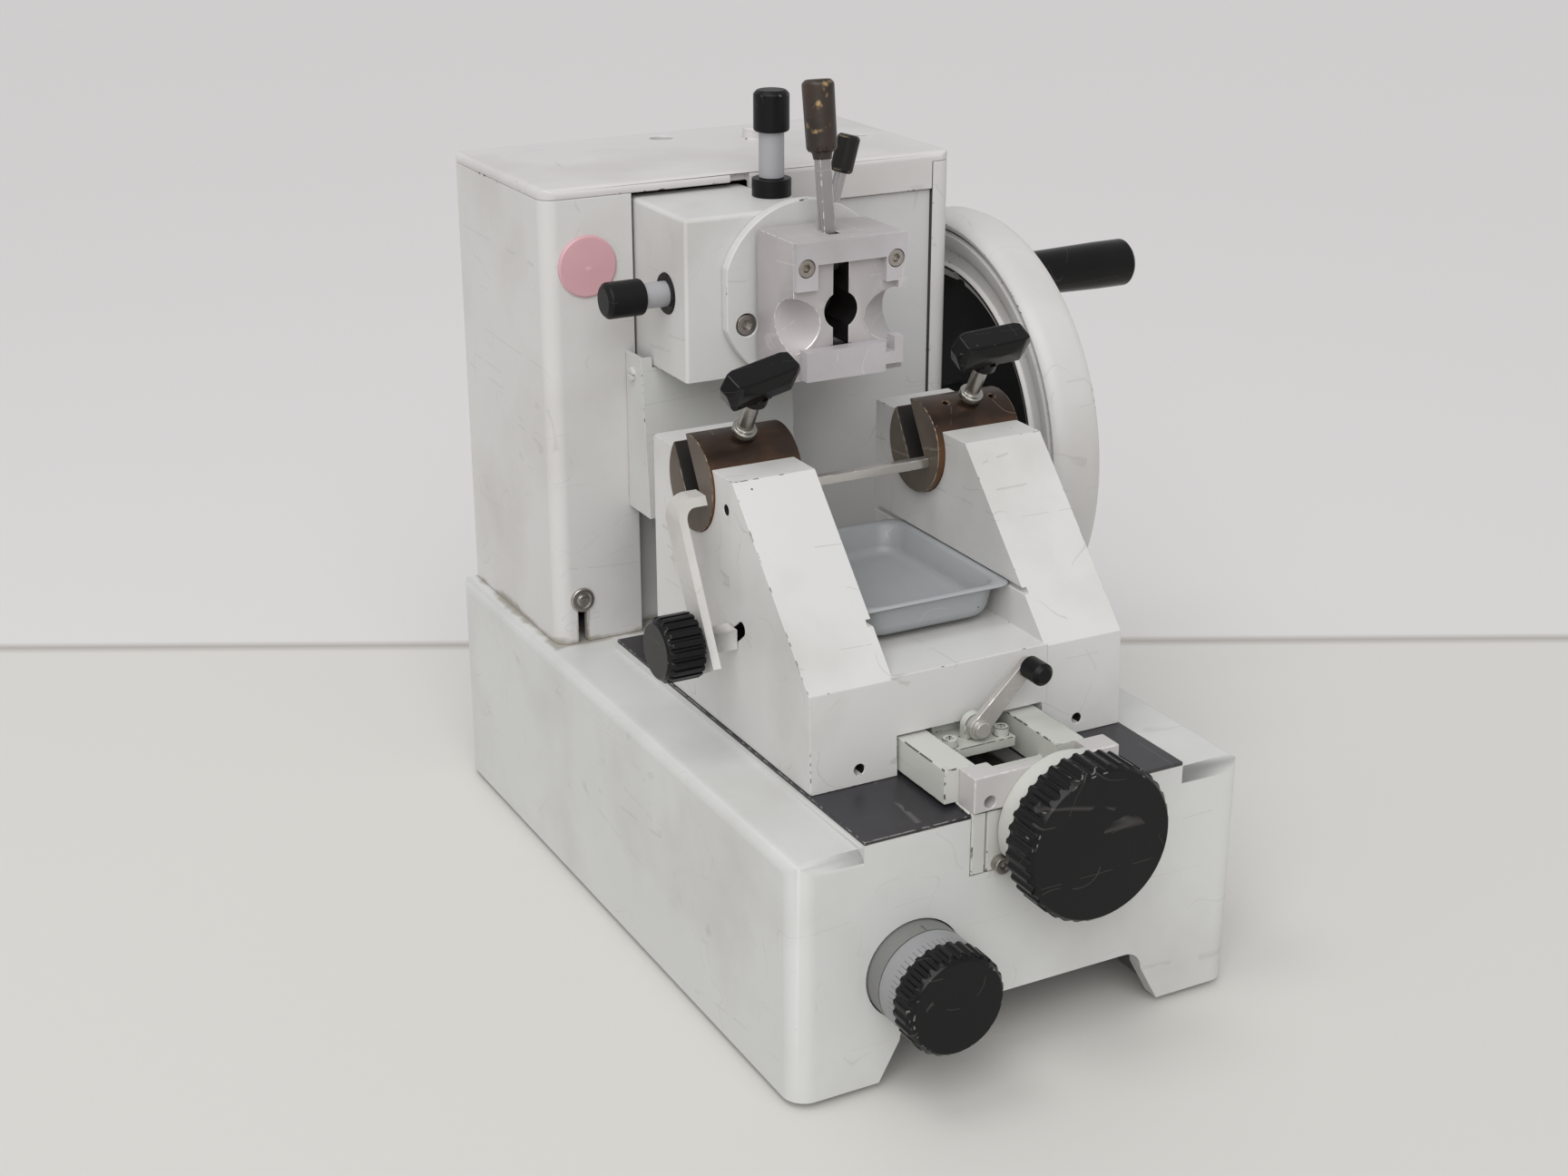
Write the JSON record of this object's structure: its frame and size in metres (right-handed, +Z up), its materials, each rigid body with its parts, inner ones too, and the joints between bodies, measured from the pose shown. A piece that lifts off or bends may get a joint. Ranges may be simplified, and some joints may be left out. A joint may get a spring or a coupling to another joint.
{
  "type": "rotary microtome",
  "caption": "Bench rotary microtome: crank wheel, vertical slide with a tilting specimen clamp, and a sliding knife holder with two knife jaws on a cast base.",
  "frame": {"origin": "centre of the base's footprint, on the bench plane", "axes": "+Z up, -Y towards the operator, +X towards the handwheel"},
  "size_m": [0.3226, 0.402, 0.348],
  "materials": {
    "enamel": "hammered stove enamel",
    "tower_enamel": "satin enamel",
    "charcoal": "matt coating",
    "rubber_black": "matt",
    "black_plastic": "glossy",
    "steel": "ground",
    "satin": "satin, worn",
    "grey": "anodised, matt",
    "patina": "blackened, worn to brown",
    "worn_grip": "worn through to brown",
    "cast": "as machined",
    "bronze": "machined",
    "badge": "glossy",
    "tray": "satin"
  },
  "bodies": {
    "frame": {"base_casting": "enamel", "rubber_pads": "rubber_black", "way_plate": "charcoal", "tower_cover": "tower_enamel", "tower_lid": "tower_enamel", "front_panel": "tower_enamel", "lower_shield": "tower_enamel", "blank_badge": "badge", "cover_screws": "steel", "inner_column": "cast", "guide_rods": "steel", "shaft_bush": "bronze", "index_ring": "grey", "feed_bracket": "enamel", "feed_crosspiece": "satin", "feed_bearing": "enamel", "bracket_screws": "steel"},
    "drive_wheel": {"handwheel": "enamel", "crankshaft": "steel", "handle_axle": "steel"},
    "crank_handle": {"handle_grip": "black_plastic"},
    "crank_die": {"die_block": "bronze"},
    "slide": {"carriage": "cast", "yoke": "steel", "slide_shutter": "tower_enamel"},
    "head": {"head_block": "enamel", "feed_quill": "steel", "front_flange": "enamel", "flange_screws": "steel", "knob_bushes": "black_plastic"},
    "feed_screw": {"feed_spindle": "steel", "ratchet_wheel": "steel"},
    "pawl": {"feed_pawl": "steel"},
    "top_adjuster": {"top_knob": "grey"},
    "left_adjuster": {"left_knob": "grey"},
    "gimbal": {"gimbal_ring": "steel"},
    "specimen_clamp": {"tilt_block": "steel", "clamp_block": "satin", "upper_jaw": "satin", "jaw_screws": "steel"},
    "clamp_jaw": {"lower_jaw": "satin"},
    "clamp_handle": {"jaw_lever": "steel", "jaw_grip": "worn_grip"},
    "head_lock": {"lock_lever": "steel", "lock_grip": "worn_grip"},
    "holder": {"knife_holder": "enamel", "feed_nut": "bronze", "lever_plate": "enamel"},
    "holder_lock": {"clamp_lever": "satin", "lever_button": "black_plastic"},
    "tray": {"waste_tray": "tray"},
    "knife_carrier": {"knife_jaws": "patina", "tilt_arm": "enamel", "rest_bar": "satin"},
    "left_screw": {"left_wing_screw": "black_plastic"},
    "right_screw": {"right_wing_screw": "black_plastic"},
    "tilt_clamp": {"tilt_knob": "black_plastic"},
    "coarse_feed": {"feed_knob": "black_plastic"},
    "thickness_setting": {"thickness_dial": "grey", "thickness_knob": "black_plastic"}
  },
  "joints": [
    {"name": "crank_turn", "type": "hinge", "parent": "frame", "child": "drive_wheel", "pos_m": [0.114, 0.1005, 0.159], "axis": [1, 0, 0], "continuous": true},
    {"name": "grip_turn", "type": "hinge", "parent": "drive_wheel", "child": "crank_handle", "pos_m": [0.18, 0.08824, 0.23228], "axis": [1, 0, 0], "continuous": true},
    {"name": "die_turn", "type": "hinge", "parent": "drive_wheel", "child": "crank_die", "pos_m": [0.0545, 0.1005, 0.184], "axis": [1, 0, 0], "continuous": true},
    {"name": "slide_stroke", "type": "slide", "parent": "frame", "child": "slide", "axis": [0, 0, 1], "range_m": [-0.05, 0]},
    {"name": "feed_turn", "type": "hinge", "parent": "slide", "child": "feed_screw", "pos_m": [0, 0.14, 0.26], "axis": [0, 1, 0], "range_deg": [-1080.5, 270.5]},
    {"name": "head_feed", "type": "slide", "parent": "slide", "child": "head", "axis": [0, 1, 0], "range_m": [-0.0015, 0.006]},
    {"name": "pawl_lift", "type": "hinge", "parent": "slide", "child": "pawl", "pos_m": [-0.027, 0.14, 0.268], "axis": [0, 1, 0], "range_deg": [-5, 20]},
    {"name": "top_knob_turn", "type": "hinge", "parent": "head", "child": "top_adjuster", "pos_m": [0.001, 0.041, 0.31], "axis": [0, 0, 1], "range_deg": [-126, 126]},
    {"name": "gimbal_tilt", "type": "hinge", "parent": "head", "child": "gimbal", "pos_m": [0, 0.028, 0.26], "axis": [1, 0, 0], "range_deg": [-3.51, 3.51]},
    {"name": "left_knob_turn", "type": "hinge", "parent": "head", "child": "left_adjuster", "pos_m": [-0.06, 0.033, 0.26], "axis": [1, 0, 0], "range_deg": [-126, 126]},
    {"name": "clamp_swivel", "type": "hinge", "parent": "gimbal", "child": "specimen_clamp", "pos_m": [0, 0.028, 0.26], "axis": [0, 0, 1], "range_deg": [-3.51, 3.51]},
    {"name": "jaw_lever_turn", "type": "hinge", "parent": "specimen_clamp", "child": "clamp_handle", "pos_m": [-0.001, -0.0115, 0.278], "axis": [1, 0, 0], "range_deg": [0, 16]},
    {"name": "jaw_travel", "type": "slide", "parent": "specimen_clamp", "child": "clamp_jaw", "axis": [0, 0, 1], "range_m": [-0.00245, 0]},
    {"name": "lock_turn", "type": "hinge", "parent": "head", "child": "head_lock", "pos_m": [0, 0.0175, 0.26], "axis": [0, 1, 0], "range_deg": [0, 35]},
    {"name": "coarse_turn", "type": "hinge", "parent": "frame", "child": "coarse_feed", "pos_m": [0.011, -0.18, 0.0975], "axis": [0, 1, 0], "range_deg": [0, 600.5]},
    {"name": "holder_travel", "type": "slide", "parent": "frame", "child": "holder", "axis": [0, 1, 0], "range_m": [-0.02, 0]},
    {"name": "holder_lock_turn", "type": "hinge", "parent": "holder", "child": "holder_lock", "pos_m": [-0.0023, -0.133, 0.122], "axis": [0, 1, 0], "range_deg": [0, 22]},
    {"name": "tray_travel", "type": "slide", "parent": "holder", "child": "tray", "axis": [0, -1, 0], "range_m": [0, 0.08]},
    {"name": "knife_tilt", "type": "hinge", "parent": "holder", "child": "knife_carrier", "pos_m": [0, -0.0285, 0.2], "axis": [1, 0, 0], "range_deg": [-8, 8]},
    {"name": "left_screw_turn", "type": "hinge", "parent": "knife_carrier", "child": "left_screw", "pos_m": [-0.052, -0.0445, 0.2347], "axis": [0, -0.5, 0.866], "range_deg": [0, 360]},
    {"name": "right_screw_turn", "type": "hinge", "parent": "knife_carrier", "child": "right_screw", "pos_m": [0.052, -0.0445, 0.2347], "axis": [0, -0.5, 0.866], "range_deg": [0, 360]},
    {"name": "tilt_clamp_turn", "type": "hinge", "parent": "knife_carrier", "child": "tilt_clamp", "pos_m": [-0.095, -0.0625, 0.1474], "axis": [1, 0, 0], "range_deg": [0, 180]},
    {"name": "thickness_turn", "type": "hinge", "parent": "frame", "child": "thickness_setting", "pos_m": [-0.0495, -0.18, 0.048], "axis": [0, 1, 0], "range_deg": [0, 300]}
  ],
  "couplings": [
    {"joint": "die_turn", "follows": "crank_turn", "ratio": -1},
    {"joint": "feed_turn", "follows": "head_feed", "rad_per_m": -3141.6},
    {"joint": "gimbal_tilt", "follows": "top_knob_turn", "ratio": 0.027778},
    {"joint": "clamp_swivel", "follows": "left_knob_turn", "ratio": 0.027778},
    {"joint": "jaw_travel", "follows": "jaw_lever_turn", "m_per_rad": -0.0086},
    {"joint": "coarse_turn", "follows": "holder_travel", "rad_per_m": -523.6}
  ]
}
